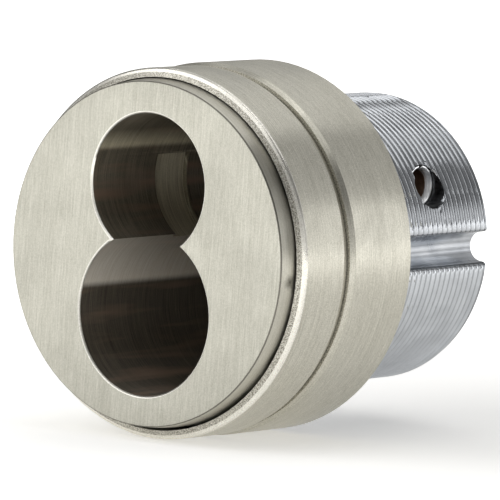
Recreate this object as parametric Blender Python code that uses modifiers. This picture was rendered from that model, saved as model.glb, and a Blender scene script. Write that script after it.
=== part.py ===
# Mortise cylinder housing for an interchangeable core, with its two rings and its cam.
# The body's axis lies along Y, with the head towards -Y and +Z up.
# The origin is on that axis, in the plane where the blocking ring meets the door.
# Lengths are in metres.

import math

import bmesh
import bpy
from mathutils import Matrix, Vector

# Housing head
HEAD_THICKNESS = 0.0054
HEAD_OVERHANG = 0.002445
HEAD_TAPER = 0.0002
HEAD_EDGE_RADIUS = 0.00015
FACE_STANDS_PROUD = 0.00192

# Threaded body: 1.150 in over the thread, 1 1/4 in long
THREAD_RADIUS = 0.014605
BODY_LENGTH = 0.03175
BODY_END_ROUNDING = 0.0005

# Figure-8 bore for the core
UPPER_LOBE_RADIUS = 0.00708
LOWER_LOBE_RADIUS = 0.00815
WALL_ABOVE_BORE = 0.0007
WALL_BELOW_BORE = 0.00056
BORE_MOUTH_CHAMFER = 0.0002
REAR_WALL = 0.0042

# Pocket in the left wall of the upper lobe, where the core's locking lug turns
LUG_POCKET_START = 0.0099
LUG_POCKET_LENGTH = 0.005
LUG_POCKET_DEPTH = 0.0005
LUG_POCKET_RISE = 0.0021

# Grooves for the lock's set screw, down both sides
KEYWAY_DEPTH = 0.00243
KEYWAY_FLOOR_RADIUS = 0.0015
KEYWAY_SHOULDER_RADIUS = 0.00075

# Cross pin behind the core
PIN_HOLE_RADIUS = 0.00215
PIN_CLEARANCE = 0.0002
PIN_DROP = 0.00045
PIN_BELOW_SURFACE = 0.00125
PIN_WALL = 0.00045
PIN_SLOT_WIDTH = 0.0006
PIN_MOUTH_DEPTH = 0.0006
PIN_MOUTH_WALL = 0.00012

# Compression ring and its wave spring
COLLAR_WALL = 0.00092
COLLAR_LIP_ROUNDING = 0.00032
COLLAR_LIP_SLOPE = math.radians(24)
COLLAR_SAG = 0.00008
COLLAR_WEB = 0.001
COLLAR_STEP_DEPTH = 0.00045
COLLAR_STEP_LENGTH = 0.00096
COLLAR_REAR_BEVEL = 0.00012
SPRING_HEIGHT = 0.0017
SPRING_THICKNESS = 0.0004
SPRING_WAVES = 4

# Blocking ring, 3/8 in wide
BLOCKING_RING_STEP = 0.00018
BLOCKING_RING_WIDTH = 0.009525
BLOCKING_RING_BEVEL_LENGTH = 0.00055
BLOCKING_RING_BEVEL_HEIGHT = 0.00032
BLOCKING_RING_REAR_BEVEL = 0.00012

# Cam driver, in the rear wall
DRIVER_FLANGE_THICKNESS = 0.0013
DRIVER_STEM_RADIUS = 0.0055
DRIVER_SLOT_WIDTH = 0.0024
DRIVER_SLOT_LENGTH = 0.0085
DRIVER_SLOT_DEPTH = 0.003
DRIVER_END_FLOAT = 0.0002
WASHER_THICKNESS = 0.0004

# Cam and its screws
CAM_THICKNESS = 0.0024
CAM_HUB_RADIUS = 0.0078
CAM_TIP_REACH = 0.019
CAM_TIP_RADIUS = 0.0044
CAM_NECK_RADIUS = 0.003
CAM_EDGE = 0.00025
SCREW_SPACING = 0.0074
SCREW_RADIUS = 0.00115
SCREW_DEPTH_IN_DRIVER = 0.0035
SCREW_HEAD_RADIUS = 0.0021
SCREW_HEAD_HEIGHT = 0.0013
SCREW_HEAD_ROUNDING = 0.0004
SCREW_SLOT_WIDTH = 0.0006
SCREW_SLOT_DEPTH = 0.0007

# Clearances
HEAD_CLEARANCE = 0.0002
RING_BORE_CLEARANCE = 0.00035
SPRING_SIDE_CLEARANCE = 0.0003
TURNING_CLEARANCE = 0.00015
FIT_CLEARANCE = 0.0001
SEAT_GAP = 0.00015
CUT_OVERRUN = 0.001

# Facets round each kind of circle
BODY_STEPS = 96
BORE_STEPS = 72
SMALL_STEPS = 32
ARC_STEPS = 5
MERGE_DISTANCE = 0.000001
SMOOTH_ANGLE = math.radians(32)

# Places along the axis, from the door plane forwards
blocking_ring_front = -BLOCKING_RING_WIDTH
collar_rear = blocking_ring_front - COLLAR_STEP_LENGTH
collar_shelf = collar_rear - COLLAR_WEB
head_rear = collar_shelf - SPRING_HEIGHT - 2 * SEAT_GAP
face = head_rear - HEAD_THICKNESS
collar_front = face + FACE_STANDS_PROUD

# Places along the axis, from the head backwards
body_end = head_rear + BODY_LENGTH
bore_floor = body_end - REAR_WALL
washer_front = bore_floor - SEAT_GAP - WASHER_THICKNESS
driver_front = washer_front - SEAT_GAP - DRIVER_FLANGE_THICKNESS
driver_end = body_end + DRIVER_END_FLOAT
cam_front = driver_end + SEAT_GAP
cam_rear = cam_front + CAM_THICKNESS
screw_seat = cam_rear + SEAT_GAP
bore_depth = bore_floor - face

# Radii and heights that follow from the sizes above
head_front_radius = THREAD_RADIUS + HEAD_OVERHANG
head_rear_radius = head_front_radius + HEAD_TAPER
collar_bore_radius = head_rear_radius + HEAD_CLEARANCE
collar_radius = collar_bore_radius + COLLAR_WALL
blocking_ring_radius = collar_radius + BLOCKING_RING_STEP
ring_bore_radius = THREAD_RADIUS + RING_BORE_CLEARANCE
upper_lobe_z = THREAD_RADIUS - WALL_ABOVE_BORE - UPPER_LOBE_RADIUS
lower_lobe_z = -(THREAD_RADIUS - WALL_BELOW_BORE - LOWER_LOBE_RADIUS)
driver_flange_radius = LOWER_LOBE_RADIUS - TURNING_CLEARANCE
driver_bore_radius = DRIVER_STEM_RADIUS + TURNING_CLEARANCE
pin_radius = PIN_HOLE_RADIUS - FIT_CLEARANCE
pin_y = driver_front - PIN_CLEARANCE - pin_radius
pin_z = upper_lobe_z - PIN_DROP
screw_hole_radius = SCREW_RADIUS + FIT_CLEARANCE

# A turned shape stands on its local Z, which this turn lays along the body's axis, top to the front
LAID_ALONG_AXIS = (math.radians(90), 0, 0)
# The same for a shape that lies across the body
LAID_ACROSS = (0, math.radians(90), 0)


def clear_scene():
    for obj in list(bpy.data.objects):
        bpy.data.objects.remove(obj, do_unlink=True)


def new_collection(name):
    collection = bpy.data.collections.new(name)
    bpy.context.scene.collection.children.link(collection)
    return collection


def finish_material(name, colour, roughness, metallic=1.0):
    material = bpy.data.materials.new(name)
    material.use_nodes = True
    shader = material.node_tree.nodes["Principled BSDF"]
    shader.inputs["Base Color"].default_value = (*colour, 1)
    shader.inputs["Roughness"].default_value = roughness
    shader.inputs["Metallic"].default_value = metallic
    return material


def place(obj, collection, location, rotation=(0, 0, 0), parent=None, material=None):
    collection.objects.link(obj)
    obj.location = location
    obj.rotation_euler = rotation
    if parent:
        obj.parent = parent
        obj.matrix_parent_inverse = Matrix.Translation(parent.location).inverted()
    if material:
        obj.data.materials.append(material)
    return obj


def smooth(mesh):
    mesh.shade_smooth()
    mesh.set_sharp_from_angle(angle=SMOOTH_ANGLE)


def arc(centre, radius, start, end, steps=ARC_STEPS):
    """Points on an arc, angles in degrees."""
    points = []
    for step in range(steps + 1):
        angle = math.radians(start + (end - start) * step / steps)
        points.append((centre[0] + radius * math.cos(angle), centre[1] + radius * math.sin(angle)))
    return points


def turned(name, profile, steps, closed=False):
    """A solid of revolution about local Z from (radius, height) points, outer side first, top to bottom."""
    mesh = bpy.data.meshes.new(name)
    shape = bmesh.new()
    corners = [shape.verts.new((radius, 0, height)) for radius, height in profile]
    for first, second in zip(corners, corners[1:]):
        shape.edges.new((first, second))
    if closed:
        shape.edges.new((corners[-1], corners[0]))
    shape.to_mesh(mesh)
    shape.free()
    obj = bpy.data.objects.new(name, mesh)
    screw = obj.modifiers.new("Turn", "SCREW")
    screw.steps = steps
    screw.render_steps = steps
    screw.use_merge_vertices = True
    screw.merge_threshold = MERGE_DISTANCE
    screw.use_smooth_shade = False
    return obj


def smoothed(obj):
    """Shades the turned or cut surface smooth, and keeps its true edges sharp."""
    bpy.context.view_layer.update()
    graph = bpy.context.evaluated_depsgraph_get()
    mesh = bpy.data.meshes.new_from_object(obj.evaluated_get(graph))
    obj.modifiers.clear()
    obj.data = mesh
    smooth(mesh)
    return obj


def box(name, size):
    mesh = bpy.data.meshes.new(name)
    shape = bmesh.new()
    bmesh.ops.create_cube(shape, size=1, matrix=Matrix.Diagonal((*size, 1)))
    shape.to_mesh(mesh)
    shape.free()
    return bpy.data.objects.new(name, mesh)


def cylinder(name, radius, depth, steps=SMALL_STEPS):
    mesh = bpy.data.meshes.new(name)
    shape = bmesh.new()
    bmesh.ops.create_cone(
        shape, cap_ends=True, segments=steps, radius1=radius, radius2=radius, depth=depth
    )
    shape.to_mesh(mesh)
    shape.free()
    return bpy.data.objects.new(name, mesh)


def extruded(name, outlines, depth, rounding=0):
    """A plate from closed outlines of (x, y) points, the first outside and the others holes."""
    curve = bpy.data.curves.new(name, "CURVE")
    curve.dimensions = "2D"
    curve.fill_mode = "BOTH"
    curve.extrude = depth / 2 - rounding
    curve.bevel_depth = rounding
    curve.bevel_resolution = 1
    curve.offset = -rounding
    for outline in outlines:
        spline = curve.splines.new("POLY")
        spline.points.add(len(outline) - 1)
        for point, (x, y) in zip(spline.points, outline):
            point.co = (x, y, 0, 1)
        spline.use_cyclic_u = True
    return bpy.data.objects.new(name, curve)


def as_mesh(obj):
    """A welded mesh in place of a curve object."""
    graph = bpy.context.evaluated_depsgraph_get()
    mesh = bpy.data.meshes.new_from_object(obj.evaluated_get(graph))
    name, collection = obj.name, obj.users_collection[0]
    place_of_curve, parent = obj.matrix_world.copy(), obj.parent
    bpy.data.objects.remove(obj, do_unlink=True)
    shape = bmesh.new()
    shape.from_mesh(mesh)
    bmesh.ops.remove_doubles(shape, verts=shape.verts, dist=MERGE_DISTANCE)
    bmesh.ops.recalc_face_normals(shape, faces=shape.faces)
    shape.to_mesh(mesh)
    shape.free()
    solid = bpy.data.objects.new(name, mesh)
    collection.objects.link(solid)
    solid.parent = parent
    solid.matrix_world = place_of_curve
    return solid


def cut(obj, cutter, location, rotation=(0, 0, 0), operation="DIFFERENCE"):
    place(cutter, cutters, location, rotation)
    combine(obj, cutter, operation)


def combine(obj, cutter, operation):
    cutter.hide_render = True
    cutter.display_type = "WIRE"
    boolean = obj.modifiers.new(cutter.name, "BOOLEAN")
    boolean.operation = operation
    boolean.solver = "EXACT"
    boolean.object = cutter


def housing_profile():
    """Head and body, from the middle of the face round to the middle of the rear end."""
    edge = (head_front_radius - HEAD_EDGE_RADIUS, -HEAD_EDGE_RADIUS)
    end = (THREAD_RADIUS - BODY_END_ROUNDING, face - body_end + BODY_END_ROUNDING)
    return (
        [(0, 0)]
        + arc(edge, HEAD_EDGE_RADIUS, 90, 0)
        + [(head_rear_radius, -FACE_STANDS_PROUD)]
        + [(head_rear_radius, -HEAD_THICKNESS), (THREAD_RADIUS, -HEAD_THICKNESS)]
        + arc(end, BODY_END_ROUNDING, 0, -90)
        + [(0, face - body_end)]
    )


def lobe_cutter(name, radius):
    """One round half of the bore, with the chamfer at its mouth."""
    flare = BORE_MOUTH_CHAMFER + CUT_OVERRUN
    return turned(
        name,
        [(0, CUT_OVERRUN), (radius + flare, CUT_OVERRUN), (radius, -BORE_MOUTH_CHAMFER)]
        + [(radius, -bore_depth), (0, -bore_depth)],
        BORE_STEPS,
    )


def keyway_cutter(name):
    """Round floor, straight cheeks and rounded shoulders, open towards +X, extruded along the body."""
    outside = THREAD_RADIUS + CUT_OVERRUN
    floor_centre = (THREAD_RADIUS - KEYWAY_DEPTH + KEYWAY_FLOOR_RADIUS, 0)
    half_mouth = KEYWAY_FLOOR_RADIUS + KEYWAY_SHOULDER_RADIUS
    shoulder_x = math.sqrt((THREAD_RADIUS - KEYWAY_SHOULDER_RADIUS) ** 2 - half_mouth**2)
    lean = math.degrees(math.asin(half_mouth / (THREAD_RADIUS - KEYWAY_SHOULDER_RADIUS)))
    lower_half = arc((shoulder_x, -half_mouth), KEYWAY_SHOULDER_RADIUS, -lean, 90)
    floor = arc(floor_centre, KEYWAY_FLOOR_RADIUS, 270, 90, 3 * ARC_STEPS)
    upper_half = [(x, -y) for x, y in reversed(lower_half)]
    outline = lower_half + floor + upper_half
    outline = [(outside, outline[0][1])] + outline + [(outside, outline[-1][1])]
    return extruded(name, [outline], BODY_LENGTH + 2 * CUT_OVERRUN)


def cut_lug_pocket(housing):
    """Left half of a wider bore, from the lobes' waist up to a flat top."""
    radius = UPPER_LOBE_RADIUS + LUG_POCKET_DEPTH
    pocket = cylinder("cut_lug_pocket", radius, LUG_POCKET_LENGTH, BORE_STEPS)
    middle = (0, face + LUG_POCKET_START + LUG_POCKET_LENGTH / 2, upper_lobe_z)
    left_part = box("cut_pocket_outline", (radius, LUG_POCKET_LENGTH + CUT_OVERRUN, 2 * radius))
    below_top = (-radius / 2, middle[1], upper_lobe_z + LUG_POCKET_RISE - radius)
    cut(pocket, left_part, below_top, operation="INTERSECT")
    cut(housing, pocket, middle, LAID_ALONG_AXIS)


def make_housing():
    housing = turned("cylinder_housing", housing_profile(), BODY_STEPS)
    place(housing, pieces, (0, face, 0), LAID_ALONG_AXIS, body_axis, finishes["housing"])
    cut(
        housing,
        lobe_cutter("cut_upper_lobe", UPPER_LOBE_RADIUS),
        (0, face, upper_lobe_z),
        LAID_ALONG_AXIS,
    )
    cut(
        housing,
        lobe_cutter("cut_lower_lobe", LOWER_LOBE_RADIUS),
        (0, face, lower_lobe_z),
        LAID_ALONG_AXIS,
    )
    cut_lug_pocket(housing)
    for side, turn in (("right", 0), ("left", math.pi)):
        keyway = keyway_cutter("cut_keyway_" + side)
        middle = (0, head_rear + BODY_LENGTH / 2 + CUT_OVERRUN, 0)
        place(keyway, cutters, middle, (math.radians(90), turn, 0))
        bpy.context.view_layer.update()
        combine(housing, as_mesh(keyway), "DIFFERENCE")
    cut(
        housing,
        cylinder("cut_pin_hole", PIN_HOLE_RADIUS, 2 * (THREAD_RADIUS + CUT_OVERRUN)),
        (0, pin_y, pin_z),
        LAID_ACROSS,
    )
    cut(
        housing,
        cylinder("cut_driver_bore", driver_bore_radius, 2 * REAR_WALL + CUT_OVERRUN, BORE_STEPS),
        (0, body_end, lower_lobe_z),
        LAID_ALONG_AXIS,
    )
    return smoothed(housing)


def make_stop_pin():
    """Spring pin: a rolled tube with an open seam and flared mouths."""
    half = THREAD_RADIUS * math.cos(math.asin(pin_z / THREAD_RADIUS)) - PIN_BELOW_SURFACE
    inner = pin_radius - PIN_WALL
    mouth = pin_radius - PIN_MOUTH_WALL
    profile = [(mouth, half), (pin_radius, half), (pin_radius, -half), (mouth, -half)]
    profile += [(inner, PIN_MOUTH_DEPTH - half), (inner, half - PIN_MOUTH_DEPTH)]
    pin = turned("core_stop_pin", profile, SMALL_STEPS, closed=True)
    where = (0, pin_y, pin_z)
    place(pin, pieces, where, LAID_ACROSS, body_axis, finishes["spring_steel"])
    seam = box("cut_pin_seam", (2 * half + CUT_OVERRUN, PIN_SLOT_WIDTH, pin_radius + CUT_OVERRUN))
    reach = Vector((0, 0, (pin_radius + CUT_OVERRUN) / 2))
    cut(pin, seam, Vector(where) + reach)
    return smoothed(pin)


def collar_profile():
    """Section of the compression ring, from the lip round its outside, with its web and rear step."""
    front = collar_shelf - collar_front
    back = front + COLLAR_WEB
    # the lip slopes back from its inner edge, and the rounding runs on from that slope
    lip_x = collar_radius - COLLAR_LIP_ROUNDING
    run = lip_x + COLLAR_LIP_ROUNDING * math.sin(COLLAR_LIP_SLOPE) - collar_bore_radius
    slope_end = run * math.tan(COLLAR_LIP_SLOPE)
    lip = (lip_x, -slope_end - COLLAR_LIP_ROUNDING * math.cos(COLLAR_LIP_SLOPE))
    step_radius = collar_radius - COLLAR_STEP_DEPTH
    step_end = back + COLLAR_STEP_LENGTH - SEAT_GAP
    return (
        [(collar_bore_radius, 0)]
        + arc(lip, COLLAR_LIP_ROUNDING, 90 - math.degrees(COLLAR_LIP_SLOPE), 0)
        + [(collar_radius, COLLAR_REAR_BEVEL - back), (collar_radius - COLLAR_REAR_BEVEL, -back)]
        + [(step_radius, -back), (step_radius, -step_end), (ring_bore_radius, -step_end)]
        + [(ring_bore_radius, -front), (collar_bore_radius, -front)]
    )


def make_compression_ring():
    ring = turned("compression_ring", collar_profile(), BODY_STEPS, closed=True)
    # the loose ring hangs a little below the body's axis
    place(
        ring,
        pieces,
        (0, collar_front, -COLLAR_SAG),
        LAID_ALONG_AXIS,
        collar_slide,
        finishes["satin_nickel"],
    )
    return smoothed(ring)


def make_wave_spring():
    """Flat ring bent into even waves, between the head and the compression ring's web."""
    inner = ring_bore_radius + SPRING_SIDE_CLEARANCE
    outer = collar_bore_radius - SPRING_SIDE_CLEARANCE
    swing = (SPRING_HEIGHT - SPRING_THICKNESS) / 2
    mesh = bpy.data.meshes.new("wave_spring")
    shape = bmesh.new()
    rims = []
    for step in range(BODY_STEPS):
        angle = 2 * math.pi * step / BODY_STEPS
        height = swing * math.cos(SPRING_WAVES * angle)
        rims.append(
            [
                shape.verts.new((radius * math.cos(angle), radius * math.sin(angle), height))
                for radius in (inner, outer)
            ]
        )
    for (a, b), (d, c) in zip(rims, rims[1:] + rims[:1]):
        shape.faces.new((a, b, c, d))
    shape.to_mesh(mesh)
    shape.free()
    spring = bpy.data.objects.new("wave_spring", mesh)
    middle = (head_rear + collar_shelf) / 2
    place(
        spring, pieces, (0, middle, 0), LAID_ALONG_AXIS, body_axis, finishes["spring_steel"]
    )
    wall = spring.modifiers.new("Thickness", "SOLIDIFY")
    wall.thickness = SPRING_THICKNESS
    wall.offset = 0
    return smoothed(spring)


def make_blocking_ring():
    front_edge = blocking_ring_radius - BLOCKING_RING_BEVEL_HEIGHT
    rear_edge = blocking_ring_radius - BLOCKING_RING_REAR_BEVEL
    profile = [
        (front_edge, 0),
        (blocking_ring_radius, -BLOCKING_RING_BEVEL_LENGTH),
        (blocking_ring_radius, BLOCKING_RING_REAR_BEVEL - BLOCKING_RING_WIDTH),
        (rear_edge, -BLOCKING_RING_WIDTH),
        (ring_bore_radius, -BLOCKING_RING_WIDTH),
        (ring_bore_radius, 0),
    ]
    ring = turned("blocking_ring", profile, BODY_STEPS, closed=True)
    place(
        ring,
        pieces,
        (0, blocking_ring_front, 0),
        LAID_ALONG_AXIS,
        body_axis,
        finishes["satin_nickel"],
    )
    return smoothed(ring)


def make_driver():
    """Round flange and stem, with a slot for the core's tail and two tapped holes for the cam."""
    length = driver_end - driver_front
    profile = [
        (0, 0),
        (driver_flange_radius, 0),
        (driver_flange_radius, -DRIVER_FLANGE_THICKNESS),
        (DRIVER_STEM_RADIUS, -DRIVER_FLANGE_THICKNESS),
        (DRIVER_STEM_RADIUS, -length),
        (0, -length),
    ]
    driver = turned("cam_driver", profile, BORE_STEPS)
    place(
        driver,
        pieces,
        (0, driver_front, lower_lobe_z),
        LAID_ALONG_AXIS,
        cam_axis,
        finishes["brass"],
    )
    slot_size = (DRIVER_SLOT_WIDTH, 2 * DRIVER_SLOT_DEPTH, DRIVER_SLOT_LENGTH)
    cut(driver, box("cut_driver_slot", slot_size), (0, driver_front, lower_lobe_z))
    for side, x in screw_places():
        cut(
            driver,
            cylinder("cut_driver_hole_" + side, screw_hole_radius, 2 * SCREW_DEPTH_IN_DRIVER),
            (x, driver_end, lower_lobe_z),
            LAID_ALONG_AXIS,
        )
    return smoothed(driver)


def make_washer():
    hole = DRIVER_STEM_RADIUS + TURNING_CLEARANCE
    profile = [
        (driver_flange_radius, 0),
        (driver_flange_radius, -WASHER_THICKNESS),
        (hole, -WASHER_THICKNESS),
        (hole, 0),
    ]
    washer = turned("driver_washer", profile, BORE_STEPS, closed=True)
    place(
        washer,
        pieces,
        (0, washer_front, lower_lobe_z),
        LAID_ALONG_AXIS,
        body_axis,
        finishes["spring_steel"],
    )
    return smoothed(washer)


def screw_places():
    return (("right", SCREW_SPACING / 2), ("left", -SCREW_SPACING / 2))


def cam_outline():
    """Round hub and tail, joined by two neck arcs, with the tail along +Y."""
    tip_y = CAM_TIP_REACH - CAM_TIP_RADIUS
    # a neck arc touches the hub and the tail's straight side
    neck_x = CAM_TIP_RADIUS + CAM_NECK_RADIUS
    neck_y = math.sqrt((CAM_HUB_RADIUS + CAM_NECK_RADIUS) ** 2 - neck_x**2)
    lean = math.degrees(math.atan2(neck_y, neck_x))
    right_neck = arc((neck_x, neck_y), CAM_NECK_RADIUS, 180 + lean, 180)
    tip = arc((0, tip_y), CAM_TIP_RADIUS, 0, 180, 3 * ARC_STEPS)
    left_neck = [(-x, y) for x, y in reversed(right_neck)]
    hub = arc((0, 0), CAM_HUB_RADIUS, 180 - lean, 360 + lean, 6 * ARC_STEPS)
    return right_neck + tip + left_neck + hub[1:-1]


def make_cam():
    holes = [
        arc((x, 0), screw_hole_radius, 0, 360, SMALL_STEPS)[:-1] for _, x in screw_places()
    ]
    cam = extruded("cam", [cam_outline()] + holes, CAM_THICKNESS, CAM_EDGE)
    middle = (cam_front + cam_rear) / 2
    place(cam, pieces, (0, middle, lower_lobe_z), LAID_ALONG_AXIS, cam_axis)
    bpy.context.view_layer.update()
    cam = as_mesh(cam)
    cam.data.materials.append(finishes["cam_steel"])
    smooth(cam.data)
    return cam


def make_cam_screw(side, x):
    """Pan-head screw with a slotted head, its shank towards the front."""
    shank = screw_seat - driver_end + SCREW_DEPTH_IN_DRIVER - FIT_CLEARANCE
    dome = (SCREW_HEAD_RADIUS - SCREW_HEAD_ROUNDING, SCREW_HEAD_ROUNDING - SCREW_HEAD_HEIGHT)
    profile = (
        [(0, shank), (SCREW_RADIUS, shank), (SCREW_RADIUS, 0), (SCREW_HEAD_RADIUS, 0)]
        + arc(dome, SCREW_HEAD_ROUNDING, 0, -90)
        + [(0, -SCREW_HEAD_HEIGHT)]
    )
    screw = turned("cam_screw_" + side, profile, SMALL_STEPS)
    place(
        screw, pieces, (x, screw_seat, lower_lobe_z), LAID_ALONG_AXIS, cam_axis, finishes["screw"]
    )
    slot = box(
        "cut_screw_slot_" + side,
        (SCREW_SLOT_WIDTH, 2 * SCREW_SLOT_DEPTH, 2 * SCREW_HEAD_RADIUS + CUT_OVERRUN),
    )
    cut(screw, slot, (x, screw_seat + SCREW_HEAD_HEIGHT, lower_lobe_z))
    return smoothed(screw)


def new_axis(name, location, parent=None):
    axis = bpy.data.objects.new(name, None)
    return place(axis, pieces, location, parent=parent)


clear_scene()
pieces = new_collection("mortise_cylinder")
cutters = new_collection("cutters")
cutters.hide_render = True
finishes = {
    "satin_nickel": finish_material("satin_nickel", (0.58, 0.56, 0.50), 0.36),
    "housing": finish_material("satin_nickel_housing", (0.58, 0.57, 0.53), 0.32),
    "spring_steel": finish_material("spring_steel", (0.55, 0.55, 0.56), 0.3),
    "brass": finish_material("nickelled_brass", (0.60, 0.58, 0.52), 0.3),
    "cam_steel": finish_material("zinc_plated_steel", (0.62, 0.63, 0.65), 0.35),
    "screw": finish_material("zinc_plated_screw", (0.62, 0.63, 0.65), 0.3),
}

body_axis = new_axis("body_axis", (0, 0, 0))
collar_slide = new_axis("collar_slide", (0, collar_front, -COLLAR_SAG))
cam_axis = new_axis("cam_axis", (0, body_end, lower_lobe_z))
make_housing()
make_stop_pin()
make_compression_ring()
make_wave_spring()
make_blocking_ring()
make_washer()
make_driver()
make_cam()
for side, x in screw_places():
    make_cam_screw(side, x)
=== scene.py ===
import math

import bpy
from mathutils import Matrix, Vector


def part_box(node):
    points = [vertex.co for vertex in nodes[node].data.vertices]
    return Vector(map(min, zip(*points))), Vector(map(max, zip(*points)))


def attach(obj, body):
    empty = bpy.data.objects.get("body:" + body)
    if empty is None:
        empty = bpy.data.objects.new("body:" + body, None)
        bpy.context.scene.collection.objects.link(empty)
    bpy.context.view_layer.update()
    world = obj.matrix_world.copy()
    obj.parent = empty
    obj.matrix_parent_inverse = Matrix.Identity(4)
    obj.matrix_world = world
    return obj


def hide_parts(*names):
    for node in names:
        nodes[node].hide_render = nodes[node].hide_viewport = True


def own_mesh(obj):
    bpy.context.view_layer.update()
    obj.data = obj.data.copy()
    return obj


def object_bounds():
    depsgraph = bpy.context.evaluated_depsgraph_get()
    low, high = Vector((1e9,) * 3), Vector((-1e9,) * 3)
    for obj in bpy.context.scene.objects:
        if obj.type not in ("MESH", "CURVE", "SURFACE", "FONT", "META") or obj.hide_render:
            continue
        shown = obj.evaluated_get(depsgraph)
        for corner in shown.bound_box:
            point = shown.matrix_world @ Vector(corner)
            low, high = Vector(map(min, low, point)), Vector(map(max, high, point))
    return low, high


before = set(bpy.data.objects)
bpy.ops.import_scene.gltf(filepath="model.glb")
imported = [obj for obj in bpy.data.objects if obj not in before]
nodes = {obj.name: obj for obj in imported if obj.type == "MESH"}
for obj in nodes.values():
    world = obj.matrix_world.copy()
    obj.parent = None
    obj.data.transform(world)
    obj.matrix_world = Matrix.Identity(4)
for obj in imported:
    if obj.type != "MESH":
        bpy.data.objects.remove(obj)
cadLow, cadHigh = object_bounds()
mm = 0.001

# Places read from the construction
housingLow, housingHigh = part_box("cylinder_housing")
faceY, bodyEndY = housingLow.y, housingHigh.y
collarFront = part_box("compression_ring")[0].y
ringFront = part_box("blocking_ring")[0].y
pinLow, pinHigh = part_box("core_stop_pin")
holeCentre = (pinLow + pinHigh) / 2
print("frame loaded,", len(nodes), "nodes")


def toLinear(hexColour):
    # the sRGB standard's own curve
    parts = [int(hexColour[i:i + 2], 16) / 255 for i in (1, 3, 5)]
    return tuple(c / 12.92 if c <= 0.04045 else ((c + 0.055) / 1.055) ** 2.4 for c in parts) + (1,)


def addNode(tree, kind, links=None, **settings):
    node = tree.nodes.new("ShaderNode" + kind)
    for name, value in settings.items():
        setattr(node, name, value)
    for name, value in (links or {}).items():
        socket = node.inputs[name]
        if isinstance(value, bpy.types.NodeSocket):
            tree.links.new(value, socket)
        else:
            socket.default_value = value
    return node


def newMaterial(name):
    material = bpy.data.materials.new(name)
    material.use_nodes = True
    material.node_tree.nodes.clear()
    return material, material.node_tree


# Camera, fitted to the edges of the face, the rings and the body in the photograph
cameraFit = {
    "azimuth": 38.26,  # degrees to the right of the face's own axis
    "elevation": 5.55,
    "roll": 2.07,
    "distance": 687.46 * mm,
    "shiftRight": 10.33 * mm,
    "shiftUp": 0.41 * mm,
    "lens": 504,  # in mm, as Blender counts it
    "sensor": 36,
}


def addCamera():
    azimuth = math.radians(cameraFit["azimuth"])
    elevation = math.radians(cameraFit["elevation"])
    back = Vector((
        math.sin(azimuth) * math.cos(elevation),
        -math.cos(azimuth) * math.cos(elevation),
        math.sin(elevation),
    ))
    right = Vector((math.cos(azimuth), math.sin(azimuth), 0))
    up = back.cross(right)
    roll = Matrix.Rotation(math.radians(cameraFit["roll"]), 3, back)
    right, up = roll @ right, roll @ up
    place = Vector((0, faceY, 0)) + back * cameraFit["distance"]
    place += right * cameraFit["shiftRight"] + up * cameraFit["shiftUp"]
    camera = bpy.data.objects.new("camera", bpy.data.cameras.new("camera"))
    camera.data.lens = cameraFit["lens"]
    camera.data.sensor_width = cameraFit["sensor"]
    turned = Matrix((right, up, back)).transposed().to_4x4()
    camera.matrix_world = Matrix.Translation(place) @ turned
    bpy.context.scene.collection.objects.link(camera)
    bpy.context.scene.camera = camera
    print("camera placed")


# Light: softboxes round the part, each with its direction, size in metres and brightness as seen
softboxes = {
    "rightBack": {"towards": (0.50, 0.86, 0.07), "size": (0.32, 0.26), "level": 1.87},
    "rightFront": {"towards": (0.80, -0.60, 0.08), "size": (0.28, 0.28), "level": 0.75},
    "right": {"towards": (0.98, 0.10, 0.12), "size": (0.40, 0.34), "level": 0.40},
    "frontRight": {"towards": (0.36, -0.93, 0.12), "size": (0.26, 0.32), "level": 0.38},
    "backLow": {"towards": (0.00, 1.00, 0.07), "size": (0.32, 0.26), "level": 0.37},
    "frontLow": {"towards": (-0.50, -0.86, 0.07), "size": (0.32, 0.26), "level": 1.16},
    "left": {"towards": (-0.86, -0.50, 0.07), "size": (0.32, 0.26), "level": 0.60},
    "frontHigh": {"towards": (-0.62, -0.62, 0.47), "size": (0.32, 0.26), "level": 1.60},
    "frontMiddle": {"towards": (-0.23, -0.85, 0.47), "size": (0.32, 0.26), "level": 0.95},
    "topFront": {"towards": (-0.24, -0.57, 0.79), "size": (0.60, 0.26), "level": 1.10},
    "topBack": {"towards": (-0.24, 0.57, 0.79), "size": (0.60, 0.26), "level": 0.98},
    "topRight": {"towards": (0.42, 0.00, 0.90), "size": (0.44, 0.30), "level": 0.95},
    "overhead": {"towards": (0.00, 0.05, 1.00), "size": (0.28, 0.30), "level": 1.35},
    "backRight": {"towards": (0.45, 0.76, 0.47), "size": (0.60, 0.26), "level": 0.47},
    "backLeft": {"towards": (-0.45, 0.76, 0.47), "size": (0.60, 0.26), "level": 0.23},
}
lampDistance = 0.6  # metres from the part
# The paper's glow is held low round a place behind the part, a painted shade near it, and
# brightens outwards; distances in metres
studio = {
    "world": 0.19,
    "paper": "#f2f1ee",
    "shadeCentre": (0.026, 0.034, 0),
    "liftNear": 0.31,
    "liftFar": 0.95,
    "nearRadius": 0.03,
    "farRadius": 0.165,
    "floorSize": 6,
    "floorGap": 0.05 * mm,
}


def addSoftbox(name, box):
    light = bpy.data.lights.new(name, "AREA")
    light.shape = "RECTANGLE"
    light.size, light.size_y = box["size"]
    # a panel's watts are its brightness times pi times its area
    light.energy = box["level"] * math.pi * light.size * light.size_y
    lamp = bpy.data.objects.new(name, light)
    towards = Vector(box["towards"]).normalized()
    lamp.location = towards * lampDistance
    lamp.rotation_mode = "QUATERNION"
    lamp.rotation_quaternion = towards.to_track_quat("Z", "Y")
    bpy.context.scene.collection.objects.link(lamp)


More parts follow.
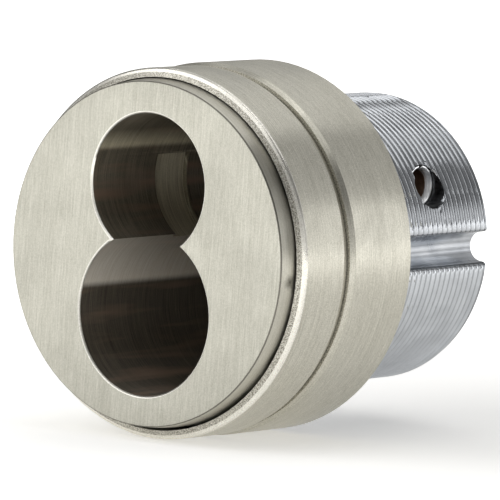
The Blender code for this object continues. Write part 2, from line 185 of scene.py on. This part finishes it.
def addFloor():
    bpy.ops.mesh.primitive_plane_add(
        size=studio["floorSize"], location=(0, 0, cadLow.z - studio["floorGap"])
    )
    floor = bpy.context.object
    floor.name = "floor"
    # white paper that looks a little brighter to the camera and in reflections
    material, tree = newMaterial("palePaperShadedNear")
    ray = addNode(tree, "LightPath").outputs
    direct = {0: ray["Is Camera Ray"], 1: ray["Is Glossy Ray"]}
    direct = addNode(tree, "Math", direct, operation="MAXIMUM").outputs[0]
    seen = {0: direct, 1: ray["Is Transmission Ray"]}
    seen = addNode(tree, "Math", seen, operation="MAXIMUM").outputs[0]
    # painted shade: the glow is lower near the part and rises outwards
    place = addNode(tree, "TexCoord").outputs["Object"]
    centred = {0: place, 1: studio["shadeCentre"]}
    distance = addNode(tree, "VectorMath", centred, operation="DISTANCE").outputs["Value"]
    shadeRadii = {"From Min": studio["nearRadius"], "From Max": studio["farRadius"]}
    lifts = {"To Min": studio["liftNear"], "To Max": studio["liftFar"]}
    glow = addNode(tree, "MapRange", {"Value": distance, **shadeRadii, **lifts}).outputs[0]
    lift = addNode(tree, "Math", {0: seen, 1: glow}, operation="MULTIPLY")
    paper = addNode(tree, "BsdfDiffuse", {"Color": toLinear(studio["paper"])})
    shine = addNode(tree, "Emission", {"Color": (1, 1, 1, 1), "Strength": lift.outputs[0]})
    both = addNode(tree, "AddShader", {0: paper.outputs[0], 1: shine.outputs[0]})
    addNode(tree, "OutputMaterial", {"Surface": both.outputs[0]})
    floor.data.materials.append(material)


def addStudio():
    scene = bpy.context.scene
    world = bpy.data.worlds.new("studio")
    scene.world = world
    world.use_nodes = True
    background = world.node_tree.nodes["Background"]
    background.inputs["Color"].default_value = (1, 1, 1, 1)
    background.inputs["Strength"].default_value = studio["world"]
    for name, box in softboxes.items():
        addSoftbox(name, box)
    addFloor()
    scene.view_settings.view_transform = "Standard"
    print("studio lit")


# Finishes. Widths and lengths of grain are real sizes, the finest drawn as coarse as a pixel shows
def streaks(tree, place, size, detail=2.0):
    # noise drawn out to a given length along each axis
    perAxis = tuple(1 / length for length in size)
    scaled = addNode(tree, "VectorMath", {0: place, 1: perAxis}, operation="MULTIPLY").outputs[0]
    return addNode(tree, "TexNoise", {"Vector": scaled, "Scale": 1.0, "Detail": detail}).outputs[0]


noiseMiddle = 0.5
toneReach = 0.17  # noise stays near its middle, so both tones are reached this far from it
cloudReach = 0.15
unevenness = 0.1  # share by which roughness wanders
lineShare = 0.5  # long lines against short grain


def twoTone(tree, pattern, tones, reach=toneReach):
    # turns a pattern into colours between a dark and a light tone
    ends = {"From Min": noiseMiddle - reach, "From Max": noiseMiddle + reach}
    share = addNode(tree, "MapRange", {"Value": pattern, **ends}).outputs[0]
    colours = {0: share, 6: toLinear(tones["dark"]), 7: toLinear(tones["light"])}
    return addNode(tree, "Mix", colours, data_type="RGBA").outputs[2]


def unevenPolish(tree, clouds, roughness):
    # roughness that wanders a little from place to place
    reach = {"From Min": noiseMiddle - cloudReach, "From Max": noiseMiddle + cloudReach}
    ends = {"To Min": roughness * (1 - unevenness), "To Max": roughness * (1 + unevenness)}
    return addNode(tree, "MapRange", {"Value": clouds, **reach, **ends}).outputs[0]


def grainPattern(tree, grain, lines, speckle, finish):
    # short grain and long lines, broken up by a fine speckle
    drawn = addNode(tree, "Mix", {0: lineShare, 2: grain, 3: lines}).outputs[0]
    return addNode(tree, "Mix", {0: finish["speckleShare"], 2: drawn, 3: speckle}).outputs[0]


def metalShader(tree, finish, colour, roughness, height, tangent=None):
    relief = {"Height": height, "Strength": finish["bump"], "Distance": finish["bumpHeight"]}
    bumped = addNode(tree, "Bump", relief)
    links = {
        "Base Color": colour,
        "Metallic": finish["metallic"],
        "Roughness": roughness,
        "Anisotropic": finish["anisotropic"],
        "Normal": bumped.outputs[0],
    }
    if tangent:
        links["Tangent"] = tangent
    metal = addNode(tree, "BsdfPrincipled", links)
    addNode(tree, "OutputMaterial", {"Surface": metal.outputs[0]})


# The face is brushed straight, from the top down and leaning a little.
# Satin nickel with a warm sheen
brushedFace = {
    "light": "#c8c6bb",
    "dark": "#a2a094",
    "roughness": 0.40,
    "anisotropic": 0.6,
    "metallic": 1.0,
    "grainWidth": 0.09 * mm,
    "grainLength": 1.4 * mm,
    "scratchWidth": 0.16 * mm,
    "scratchLength": 6 * mm,
    "speckle": 0.11 * mm,
    "speckleShare": 0.4,
    "lean": 3,  # degrees
    "cloud": 5 * mm,
    "bump": 0.08,
    "bumpHeight": 0.02 * mm,
}


def straightBrushed(name, finish):
    material, tree = newMaterial(name)
    place = addNode(tree, "TexCoord").outputs["Object"]
    lean = math.radians(finish["lean"])
    turned = addNode(tree, "Mapping", {"Vector": place, "Rotation": (0, -lean, 0)}).outputs[0]
    width, length = finish["grainWidth"], finish["grainLength"]
    grain = streaks(tree, turned, (width, length, length))
    width, length = finish["scratchWidth"], finish["scratchLength"]
    scratches = streaks(tree, turned, (width, length, length))
    speckle = streaks(tree, place, (finish["speckle"],) * 3)
    clouds = streaks(tree, place, (finish["cloud"],) * 3)
    pattern = grainPattern(tree, grain, scratches, speckle, finish)
    # the grain blurs reflections across its own direction
    across = {"X": math.cos(lean), "Y": 0.0, "Z": -math.sin(lean)}
    across = addNode(tree, "CombineXYZ", across).outputs[0]
    rough = unevenPolish(tree, clouds, finish["roughness"])
    metalShader(tree, finish, twoTone(tree, pattern, finish), rough, pattern, across)
    return material


# Turned and brushed nickel: grain that runs round the part
turnedHead = {
    "light": "#d2cfc4",
    "dark": "#b4b1a4",
    "roughness": 0.34,
    "anisotropic": 0.6,
    "metallic": 1.0,
    "radius": 17 * mm,  # at which the grain is unrolled
    "grainWidth": 0.10 * mm,
    "grainLength": 1.2 * mm,
    "lineWidth": 0.16 * mm,
    "lineLength": 15 * mm,
    "speckle": 0.11 * mm,
    "speckleShare": 0.4,
    "cloud": 4 * mm,
    "bump": 0.08,
    "bumpHeight": 0.02 * mm,
}
# Dark marks on the head's side, two small smudges and a broad painted shade at the upper right:
# where each is, how far it reaches and how strong it is
headSmudgesAndShade = (
    {"place": (17.1 * mm, -17.5 * mm, -1.3 * mm), "reach": 0.90 * mm, "share": 0.9},
    {"place": (17.0 * mm, -16.9 * mm, -2.0 * mm), "reach": 0.55 * mm, "share": 0.6},
    # painted shade, a broad darkening at the upper right of the side
    {"place": (14.8 * mm, -16.7 * mm, 8.4 * mm), "reach": 4.5 * mm, "share": 0.6},
)
smudgeAndShade = {"colour": "#4b483f", "ragged": 0.5 * mm, "size": 0.35 * mm}
# The bores' broken edges are painted near white, a painted highlight
boreRimHighlight = {**turnedHead, "light": "#fffdf5", "dark": "#dddacf", "roughness": 0.45}
# The rounded corner between the face and the head's side, painted dark as a line of painted shade
shadedHeadCorner = {**turnedHead, "light": "#85827a", "dark": "#6b6960", "roughness": 0.42}
turnedRing = {
    **turnedHead,
    "light": "#e0ddd1",
    "dark": "#a8a597",
    "speckleShare": 0.5,
    "radius": 18.5 * mm,
    "roughness": 0.36,
    "anisotropic": 0.7,
}
# The collar's lip was faced off bright before plating
facedLip = {
    **turnedRing,
    "light": "#faf7ee",
    "dark": "#cfccc1",
    "speckleShare": 0.6,
    "bump": 0.15,
    "roughness": 0.27,
}
# The bores are dark inside: bored brass with a thin, dull skin of plate, with a paler band of
# painted reflection in each and streaks of stain and painted sheen along them
boredUpper = {
    **turnedHead,
    "light": "#8c8473",
    "dark": "#4c463a",
    "metallic": 0.5,
    "roughness": 0.38,
    "anisotropic": 0.95,
    "radius": 7 * mm,
    "grainLength": 2.5 * mm,
    "lineWidth": 0.14 * mm,
    "speckleShare": 0.25,
    "bump": 0.22,
    # streaks along the bore, brown stain and painted sheen
    "stainAndSheen": "#8c7766",
    "streakReach": 0.24,
    "streakSize": 1.6 * mm,
    "streakLength": 18 * mm,
}
boredLower = {
    **boredUpper,
    "light": "#746c5e",
    "dark": "#3b352c",
    "metallic": 0.15,
    "radius": 8 * mm,
}
# Painted reflections, one paler band in each bore: where it lies in height, how it fades upwards,
# its tones and roughness
upperPaintedReflection = {
    "low": 9.9 * mm,
    "high": 13.5 * mm,
    "soft": 0.35 * mm,
    "fadeEnd": 11.8 * mm,
    "faded": 0.0,
    "light": "#e6dec2",
    "dark": "#aaa288",
    "roughness": 0.45,
}
lowerPaintedReflection = {
    "low": -3.8 * mm,
    "high": 3 * mm,
    "soft": 0.45 * mm,
    "fadeEnd": 1.2 * mm,
    "faded": 0.3,
    "light": "#fffaf0",
    "dark": "#e4dac8",
    "roughness": 0.75,
}
# The milled pocket in the upper bore is a little paler
boredPocket = {**boredUpper, "light": "#c9c2ad", "dark": "#8f8873", "roughness": 0.55}
# Milled ends inside the bores, dull and dark
boredEnd = {
    **turnedHead,
    "light": "#969079",
    "dark": "#686252",
    "metallic": 0.6,
    "roughness": 0.5,
}
turnedBrass = {
    **turnedHead,
    "light": "#cbc6b8",
    "dark": "#aea89a",
    "roughness": 0.30,
    "radius": 8 * mm,
}
# Grit on the surfaces that were faced off and not brushed
lipGrit = {"light": "#d3d0c5", "dark": "#837f75", "size": 0.12 * mm, "roughness": 0.38}
ringFrontGrit = {"light": "#dddacd", "dark": "#a8a496", "size": 0.14 * mm, "roughness": 0.50}
gritReach = 0.1  # grit has more contrast than grain
gritDetail = 4.0


def stainAndSheenColour(tree, start, finish, colour):
    # brown stain streaks that run along the bore, mostly paler than the wall and partly painted
    # sheen
    size = (finish["streakSize"], finish["streakLength"], finish["streakSize"])
    reach = {"From Min": noiseMiddle, "From Max": noiseMiddle + finish["streakReach"]}
    share = addNode(tree, "MapRange", {"Value": streaks(tree, start, size), **reach}).outputs[0]
    streakedTone = {0: share, 6: colour, 7: toLinear(finish["stainAndSheen"])}
    return addNode(tree, "Mix", streakedTone, data_type="RGBA").outputs[2]


def paintedReflectionShare(tree, start, paintedReflection):
    # how much of the painted reflection, a paler band, shows at each height; it fades upwards
    height = addNode(tree, "SeparateXYZ", {0: start}).outputs["Z"]
    above = addNode(tree, "Math", {0: height, 1: paintedReflection["low"]}, operation="SUBTRACT").outputs[0]
    below = addNode(tree, "Math", {0: paintedReflection["high"], 1: height}, operation="SUBTRACT").outputs[0]
    inner = addNode(tree, "Math", {0: above, 1: below}, operation="MINIMUM").outputs[0]
    edge = {"Value": inner, "From Min": -paintedReflection["soft"], "From Max": paintedReflection["soft"]}
    share = addNode(tree, "MapRange", edge, interpolation_type="SMOOTHSTEP").outputs[0]
    fade = {"Value": height, "From Min": paintedReflection["low"], "From Max": paintedReflection["fadeEnd"]}
    fade = addNode(tree, "MapRange", {**fade, "To Min": 1.0, "To Max": paintedReflection["faded"]}).outputs[0]
    return addNode(tree, "Math", {0: share, 1: fade}, operation="MULTIPLY").outputs[0]


def markedColour(tree, start, place, mark, colour):
    # one dark mark with a ragged edge
    ragged = streaks(tree, place, (smudgeAndShade["size"],) * 3)
    away = {0: start, 1: mark["place"]}
    away = addNode(tree, "VectorMath", away, operation="DISTANCE").outputs["Value"]
    away = {0: ragged, 1: smudgeAndShade["ragged"], 2: away}
    away = addNode(tree, "Math", away, operation="MULTIPLY_ADD").outputs[0]
    half = smudgeAndShade["ragged"] / 2
    fade = {"Value": away, "From Min": half, "From Max": mark["reach"] + half}
    fade = {**fade, "To Min": mark["share"], "To Max": 0.0}
    share = addNode(tree, "MapRange", fade).outputs[0]
    marked = {0: share, 6: colour, 7: toLinear(smudgeAndShade["colour"])}
    return addNode(tree, "Mix", marked, data_type="RGBA").outputs[2]


def turnedMetal(name, finish, centre=(0, 0, 0), paintedReflection=None, marks=(), grit=None, gritEnd=0.0):
    material, tree = newMaterial(name)
    start = addNode(tree, "TexCoord").outputs["Object"]
    place = addNode(tree, "VectorMath", {0: start, 1: centre}, operation="SUBTRACT").outputs[0]
    # unrolled: the way round at one radius, and depth plus radius across it
    flat = addNode(tree, "VectorMath", {0: place, 1: (1, 0, 1)}, operation="MULTIPLY").outputs[0]
    outwards = addNode(tree, "VectorMath", {0: flat}, operation="NORMALIZE").outputs[0]
    wrapped = {0: outwards, "Scale": finish["radius"]}
    around = addNode(tree, "VectorMath", wrapped, operation="SCALE").outputs[0]
    distance = addNode(tree, "VectorMath", {0: flat}, operation="LENGTH").outputs["Value"]
    depth = addNode(tree, "SeparateXYZ", {0: place}).outputs["Y"]
    across = addNode(tree, "Math", {0: depth, 1: distance}, operation="ADD").outputs[0]
    across = addNode(tree, "CombineXYZ", {"Y": across}).outputs[0]
    unrolled = addNode(tree, "VectorMath", {0: around, 1: across}, operation="ADD").outputs[0]
    length, width = finish["grainLength"], finish["grainWidth"]
    grain = streaks(tree, unrolled, (length, width, length))
    length, width = finish["lineLength"], finish["lineWidth"]
    lines = streaks(tree, unrolled, (length, width, length))
    speckle = streaks(tree, place, (finish["speckle"],) * 3)
    clouds = streaks(tree, place, (finish["cloud"],) * 3)
    pattern = grainPattern(tree, grain, lines, speckle, finish)
    colour = twoTone(tree, pattern, finish)
    rough = unevenPolish(tree, clouds, finish["roughness"])
    # a painted reflection as a paler band, over streaks of stain and painted sheen
    if paintedReflection:
        share = paintedReflectionShare(tree, start, paintedReflection)
        colour = stainAndSheenColour(tree, start, finish, colour)
        reflectedTone = {0: share, 6: colour, 7: twoTone(tree, pattern, paintedReflection)}
        colour = addNode(tree, "Mix", reflectedTone, data_type="RGBA").outputs[2]
        rough = addNode(tree, "Mix", {0: share, 2: rough, 3: paintedReflection["roughness"]}).outputs[0]
    for mark in marks:
        colour = markedColour(tree, start, place, mark, colour)
    if grit:
        # from the front edge back to where the facing ends
        zone = addNode(tree, "Math", {0: depth, 1: gritEnd}, operation="LESS_THAN").outputs[0]
        grains = streaks(tree, place, (grit["size"],) * 3, gritDetail)
        gritty = {0: zone, 6: colour, 7: twoTone(tree, grains, grit, gritReach)}
        colour = addNode(tree, "Mix", gritty, data_type="RGBA").outputs[2]
        rough = addNode(tree, "Mix", {0: zone, 2: rough, 3: grit["roughness"]}).outputs[0]
        pattern = addNode(tree, "Mix", {0: zone, 2: pattern, 3: grains}).outputs[0]
    # reflections blur across the grain, along the turned section
    roundAxis = {0: outwards, 1: (0, 1, 0)}
    grainWay = addNode(tree, "VectorMath", roundAxis, operation="CROSS_PRODUCT").outputs[0]
    section = {0: addNode(tree, "NewGeometry").outputs["Normal"], 1: grainWay}
    tangent = addNode(tree, "VectorMath", section, operation="CROSS_PRODUCT").outputs[0]
    metalShader(tree, finish, colour, rough, pattern, tangent)
    return material


# Bright nickel plate on the cut thread, with painted shade in the roots
platedThread = {
    "light": "#cdd0d4",
    "dark": "#c0c3c7",
    # painted shade for the thread's roots, and how far it reaches up the flanks
    "root": "#474b50",
    "rootShadeDepth": 0.25 * mm,
    "roughness": 0.18,
    "anisotropic": 0.0,
    "metallic": 1.0,
    "cloud": 2.5 * mm,
    "bump": 0.06,
    "bumpHeight": 0.02 * mm,
    "speckle": 0.3 * mm,
}
# The keyway was milled after the thread and is smooth but duller
platedKeyway = {**platedThread, "light": "#cfd2d6", "dark": "#b0b4ba", "roughness": 0.30}
# The body's rear end was faced on a lathe
facedRear = {
    **turnedHead,
    "light": "#cfd1d3",
    "dark": "#b2b4b7",
    "radius": 10 * mm,
    "grainLength": 2.0 * mm,
    "roughness": 0.30,
}
# The drilled side hole's wall is painted dark, as painted shade
shadedSideHole = {**platedThread, "light": "#77797b", "dark": "#424446", "roughness": 0.34}
# Zinc plate and spring steel, out of the photograph's sight
zincPlate = {
    **platedThread,
    "light": "#c9cdd2",
    "dark": "#bac0c6",
    "roughness": 0.32,
    "bump": 0.1,
}
springSteel = {**zincPlate, "light": "#c3c3c5", "dark": "#9d9da1", "roughness": 0.28}


def platedMetal(name, finish, rootRadius=None):
    material, tree = newMaterial(name)
    place = addNode(tree, "TexCoord").outputs["Object"]
    clouds = streaks(tree, place, (finish["cloud"],) * 3)
    specks = streaks(tree, place, (finish["speckle"],) * 3)
    colour = twoTone(tree, clouds, finish, cloudReach)
    rough = unevenPolish(tree, clouds, finish["roughness"])
    if rootRadius:
        # painted shade: the thread's roots are darker
        flat = {0: place, 1: (1, 0, 1)}
        flat = addNode(tree, "VectorMath", flat, operation="MULTIPLY").outputs[0]
        distance = addNode(tree, "VectorMath", {0: flat}, operation="LENGTH").outputs["Value"]
        flank = {"From Min": rootRadius, "From Max": rootRadius + finish["rootShadeDepth"]}
        crest = addNode(tree, "MapRange", {"Value": distance, **flank}).outputs[0]
        rootShaded = {0: crest, 6: toLinear(finish["root"]), 7: colour}
        colour = addNode(tree, "Mix", rootShaded, data_type="RGBA").outputs[2]
    metalShader(tree, finish, colour, rough, specks)
    return material


# Housing: the construction's solid with the thread cut into it
housing = {
    "threadRadius": 14.605 * mm,
    "headThickness": 5.4 * mm,
    "pitch": 25.4 * mm / 32,  # 32 threads to the inch
    "threadDepth": 0.40 * mm,
    "rootWidth": 0.04 * mm,
    "flankAngle": 30,  # degrees from straight out
    "crestDepth": 0.12 * mm,  # how far down the crest's rounding reaches
    "crestWidth": 0.16 * mm,
    "cutAbove": 0.06 * mm,
    "threadStart": 1.2 * mm,  # behind the head, hidden by the rings
    "stepsPerTurn": 96,
    "upperLobeRadius": 7.08 * mm,
    "upperLobeZ": 6.825 * mm,
    "lowerLobeRadius": 8.15 * mm,
    "lowerLobeZ": -5.895 * mm,
}
# Limits for cleaning up and shading the meshes, with angles in degrees
meshing = {
    "mergeDistance": 0.001 * mm,
    "flatAngle": 0.5,
    "straightAngle": 1,
    "smoothAngle": 40,
}


def selectOnly(obj):
    bpy.ops.object.select_all(action="DESELECT")
    obj.select_set(True)
    bpy.context.view_layer.objects.active = obj


def applyModifier(obj, kind, **settings):
    selectOnly(obj)
    modifier = obj.modifiers.new(kind.lower(), kind)
    for name, value in settings.items():
        setattr(modifier, name, value)
    bpy.ops.object.modifier_apply(modifier=modifier.name)


def copyOfNode(name, piece):
    obj = bpy.data.objects.new(piece, nodes[name].data.copy())
    bpy.context.scene.collection.objects.link(obj)
    selectOnly(obj)
    bpy.ops.object.mode_set(mode="EDIT")
    bpy.ops.mesh.select_all(action="SELECT")
    bpy.ops.mesh.remove_doubles(threshold=meshing["mergeDistance"])
    flatAngle = math.radians(meshing["flatAngle"])
    bpy.ops.mesh.tris_convert_to_quads(face_threshold=flatAngle, shape_threshold=math.pi)
    bpy.ops.object.mode_set(mode="OBJECT")
    return obj


def growOuterEdge(outwards, widen, centre):
    # draws the section's outer edge out of the body and changes its width
    bpy.ops.mesh.extrude_region_move(TRANSFORM_OT_translate={"value": (outwards, 0, 0)})
    bpy.ops.transform.resize(value=(1, widen, 1), center_override=centre)


def threadTool():
    # the groove's section, shaped from a plane and driven along the helix
    root = housing["threadRadius"] - housing["threadDepth"]
    flankHeight = housing["threadDepth"] - housing["crestDepth"]
    flankRun = flankHeight * math.tan(math.radians(housing["flankAngle"]))
    flankWidth = housing["rootWidth"] + 2 * flankRun
    crestOpening = flankWidth + 2 * housing["crestWidth"]
    start = faceY + housing["headThickness"] + housing["threadStart"]
    bpy.ops.object.select_all(action="DESELECT")
    bpy.ops.mesh.primitive_plane_add(size=1, location=(root + flankHeight / 2, start, 0))
    tool = bpy.context.object
    centre = tool.location.copy()
    bpy.ops.object.mode_set(mode="EDIT")
    bpy.ops.mesh.select_all(action="SELECT")
    bpy.ops.transform.resize(value=(flankHeight, housing["rootWidth"], 1), center_override=centre)
    bpy.ops.object.mode_set(mode="OBJECT")
    outer = {vertex.index for vertex in tool.data.vertices if vertex.co.x > 0}
    for vertex in tool.data.vertices:
        vertex.select = vertex.index in outer
    for edge in tool.data.edges:
        edge.select = set(edge.vertices) <= outer
    for polygon in tool.data.polygons:
        polygon.select = False
    bpy.ops.object.mode_set(mode="EDIT")
    bpy.ops.mesh.select_mode(type="EDGE")
    widen = flankWidth / housing["rootWidth"]
    bpy.ops.transform.resize(value=(1, widen, 1), center_override=centre)
    growOuterEdge(housing["crestDepth"], crestOpening / flankWidth, centre)
    growOuterEdge(housing["cutAbove"], 1, centre)
    bpy.ops.mesh.select_mode(type="VERT")
    bpy.ops.mesh.select_all(action="SELECT")
    bpy.ops.mesh.dissolve_limited(angle_limit=math.radians(meshing["straightAngle"]))
    bpy.ops.mesh.select_all(action="SELECT")
    bpy.ops.mesh.delete(type="ONLY_FACE")
    bpy.ops.object.mode_set(mode="OBJECT")
    bpy.ops.object.transform_apply(location=True, rotation=True, scale=True)
    applyModifier(
        tool,
        "SCREW",
        axis="Y",
        screw_offset=housing["pitch"],
        iterations=math.ceil((bodyEndY - start) / housing["pitch"]) + 1,
        steps=housing["stepsPerTurn"],
        render_steps=housing["stepsPerTurn"],
        use_merge_vertices=False,
        use_smooth_shade=False,
    )
    bpy.ops.object.mode_set(mode="EDIT")
    bpy.ops.mesh.select_all(action="SELECT")
    bpy.ops.mesh.remove_doubles(threshold=meshing["mergeDistance"])
    bpy.ops.mesh.select_all(action="DESELECT")
    bpy.ops.mesh.select_non_manifold()
    bpy.ops.mesh.fill()
    bpy.ops.mesh.select_all(action="SELECT")
    bpy.ops.mesh.normals_make_consistent(inside=False)
    bpy.ops.object.mode_set(mode="OBJECT")
    return tool


# Where one finish of the housing ends and the next begins
zones = {
    "margin": 0.05 * mm,
    "rimDepth": 0.4 * mm,
    "boreWall": 0.5 * mm,  # the bores lie at least this far under the thread
    "rearMargin": 0.1 * mm,
    "pocketDepth": 0.7 * mm,
    "pocketStart": 0.1 * mm,
    "headStep": 1 * mm,
    "cornerDepth": 0.25 * mm,
    "holeReach": 2.5 * mm,  # from the side hole's axis to just past its wall
    # shares of a face's normal along the axis, or across it for the side hole
    "facing": 0.95,
    "boreEndFacing": 0.9,
    "cornerFacing": 0.1,
    "holeFacing": 0.15,
}


def zoneOfFace(centre, normal):
    radius = math.hypot(centre.x, centre.z)
    depth = centre.y - faceY
    fromUpper = math.hypot(centre.x, centre.z - housing["upperLobeZ"])
    fromLower = math.hypot(centre.x, centre.z - housing["lowerLobeZ"])
    if normal.y < -zones["facing"] and depth < zones["margin"]:
        return "face"
    if depth < zones["rimDepth"] and radius < housing["threadRadius"]:
        return "boreRimHighlight"
    inside = radius < housing["threadRadius"] - zones["boreWall"]
    inside = inside and centre.y < bodyEndY - zones["rearMargin"]
    inLower = fromLower < housing["lowerLobeRadius"] + zones["margin"]
    inUpper = fromUpper < housing["upperLobeRadius"] + zones["pocketDepth"]
    if inside and (inLower or inUpper):
        if abs(normal.y) > zones["boreEndFacing"]:
            return "boreEnd"
        if inLower:
            return "lowerBore"
        pastBore = fromUpper > housing["upperLobeRadius"] + zones["pocketStart"]
        return "pocket" if pastBore else "upperBore"
    inHead = depth < housing["headThickness"] + zones["margin"]
    if inHead and radius > housing["threadRadius"] - zones["headStep"]:
        corner = depth < zones["cornerDepth"] and -normal.y > zones["cornerFacing"]
        return "shadedHeadCorner" if corner else "headSide"
    if normal.y > zones["facing"] and centre.y > bodyEndY - zones["margin"]:
        return "rearEnd"
    fromHole = math.hypot(centre.y - holeCentre.y, centre.z - holeCentre.z)
    nearHole = centre.x > 0 and fromHole < zones["holeReach"]
    if nearHole and abs(normal.x) < zones["holeFacing"]:
        return "sideHole"
    rootRadius = housing["threadRadius"] - housing["threadDepth"]
    return "keyway" if radius < rootRadius - zones["margin"] else "thread"


def makeHousing():
    piece = copyOfNode("cylinder_housing", "threaded_housing")
    tool = threadTool()
    applyModifier(piece, "BOOLEAN", operation="DIFFERENCE", solver="EXACT", object=tool)
    bpy.data.objects.remove(tool, do_unlink=True)
    mesh = piece.data
    mesh.materials.clear()
    upper, lower = (0, 0, housing["upperLobeZ"]), (0, 0, housing["lowerLobeZ"])
    rootRadius = housing["threadRadius"] - housing["threadDepth"]
    finishes = {
        "face": straightBrushed("brushedNickelFace", brushedFace),
        "headSide": turnedMetal("turnedNickelHead", turnedHead, marks=headSmudgesAndShade),
        "upperBore": turnedMetal("boredNickelUpper", boredUpper, upper, upperPaintedReflection),
        "lowerBore": turnedMetal("boredNickelLower", boredLower, lower, lowerPaintedReflection),
        "thread": platedMetal("platedThread", platedThread, rootRadius),
        "keyway": platedMetal("platedKeyway", platedKeyway),
        "boreEnd": turnedMetal("milledBoreEnd", boredEnd, upper),
        "shadedHeadCorner": turnedMetal("paintedShadeHeadCorner", shadedHeadCorner),
        "pocket": turnedMetal("milledPocket", boredPocket, upper),
        "boreRimHighlight": turnedMetal("paintedHighlightBoreRim", boreRimHighlight, upper),
        "sideHole": platedMetal("paintedShadeSideHole", shadedSideHole),
        "rearEnd": turnedMetal("facedRearEnd", facedRear),
    }
    for material in finishes.values():
        mesh.materials.append(material)
    order = {zone: index for index, zone in enumerate(finishes)}
    for polygon in mesh.polygons:
        polygon.material_index = order[zoneOfFace(polygon.center, polygon.normal)]
    selectOnly(piece)
    bpy.ops.object.shade_smooth_by_angle(angle=math.radians(meshing["smoothAngle"]))
    applyModifier(piece, "WEIGHTED_NORMAL", keep_sharp=True)
    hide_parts("cylinder_housing")
    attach(piece, "housing")
    print("housing threaded,", len(mesh.polygons), "faces")


# Rings: copies of the construction's, faced at the front and brushed round their sides
rings = {
    "lipGritLength": 0.22 * mm,
    "lipDepth": 0.6 * mm,
    "lipFacing": 0.08,  # least share of a face's normal that looks forward
    "frontGritLength": 0.03 * mm,
    "smoothAngle": 32,
}


def makeRing(node, name, body, side, lip=None):
    piece = copyOfNode(node, name)
    mesh = piece.data
    mesh.materials.clear()
    mesh.materials.append(side)
    if lip:
        mesh.materials.append(lip)
        lipEnd = min(vertex.co.y for vertex in mesh.vertices) + rings["lipDepth"]
        for polygon in mesh.polygons:
            forward = polygon.normal.y < -rings["lipFacing"]
            polygon.material_index = int(forward and polygon.center.y < lipEnd)
    selectOnly(piece)
    bpy.ops.object.shade_smooth_by_angle(angle=math.radians(rings["smoothAngle"]))
    applyModifier(piece, "WEIGHTED_NORMAL", keep_sharp=True)
    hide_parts(node)
    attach(piece, body)


def makeRings():
    lipEnd = collarFront + rings["lipGritLength"]
    frontEnd = ringFront + rings["frontGritLength"]
    collar = turnedMetal("satinNickelCollar", turnedRing)
    facing = turnedMetal("facedNickelLip", facedLip, grit=lipGrit, gritEnd=lipEnd)
    blocking = turnedMetal("satinNickelRing", turnedRing, grit=ringFrontGrit, gritEnd=frontEnd)
    makeRing("compression_ring", "satin_compression_ring", "compression_ring", collar, facing)
    makeRing("blocking_ring", "satin_blocking_ring", "housing", blocking)
    print("rings made")


def makeSpring():
    piece = copyOfNode("wave_spring", "bright_wave_spring")
    piece.data.materials.clear()
    piece.data.materials.append(platedMetal("springSteel", springSteel))
    selectOnly(piece)
    bpy.ops.object.shade_smooth_by_angle(angle=math.radians(meshing["smoothAngle"]))
    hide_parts("wave_spring")
    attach(piece, "housing")
    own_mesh(piece)
    print("spring made")


# The stop pin's rolled mouth, where it shows in the side hole, is painted near white as a painted
# highlight; its inside behind it is painted dull brown as painted shade
stopPin = {
    # painted highlight on the pin's mouth
    "mouth": {**platedThread, "light": "#f6f7f8", "dark": "#e2e4e7", "roughness": 0.36},
    # painted shade inside the pin
    "inside": {**platedThread, "light": "#86705f", "dark": "#57463a", "roughness": 0.45},
    "insideShare": 0.86,  # of the pin's radius
    "wallFacing": 0.1,  # a wall's normal leans along the pin by less than this
}


def makePin():
    piece = copyOfNode("core_stop_pin", "bright_stop_pin")
    mesh = piece.data
    mesh.materials.clear()
    mesh.materials.append(platedMetal("paintedHighlightPinSteel", stopPin["mouth"]))
    mesh.materials.append(platedMetal("paintedShadePinInside", stopPin["inside"]))
    reach = (pinHigh.z - pinLow.z) / 2 * stopPin["insideShare"]
    for polygon in mesh.polygons:
        fromAxis = polygon.center - holeCentre
        fromAxis.x = 0
        onWall = abs(polygon.normal.x) < stopPin["wallFacing"]
        inwards = onWall and polygon.normal.dot(fromAxis) < 0
        polygon.material_index = 1 if inwards and fromAxis.length < reach else 0
    selectOnly(piece)
    bpy.ops.object.shade_smooth_by_angle(angle=math.radians(meshing["smoothAngle"]))
    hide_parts("core_stop_pin")
    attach(piece, "housing")
    print("stop pin made")


def finishSmallParts():
    steel = platedMetal("brightSpringSteel", springSteel)
    brass = turnedMetal("nickelledBrass", turnedBrass, (0, 0, housing["lowerLobeZ"]))
    zinc = platedMetal("zincPlatedSteel", zincPlate)
    for material, names in (
        (steel, ("driver_washer",)),
        (brass, ("cam_driver",)),
        (zinc, ("cam", "cam_screw_left", "cam_screw_right")),
    ):
        for name in names:
            nodes[name].data.materials.clear()
            nodes[name].data.materials.append(material)
    print("small parts finished")


addCamera()
addStudio()
makeHousing()
makeRings()
makeSpring()
makePin()
finishSmallParts()
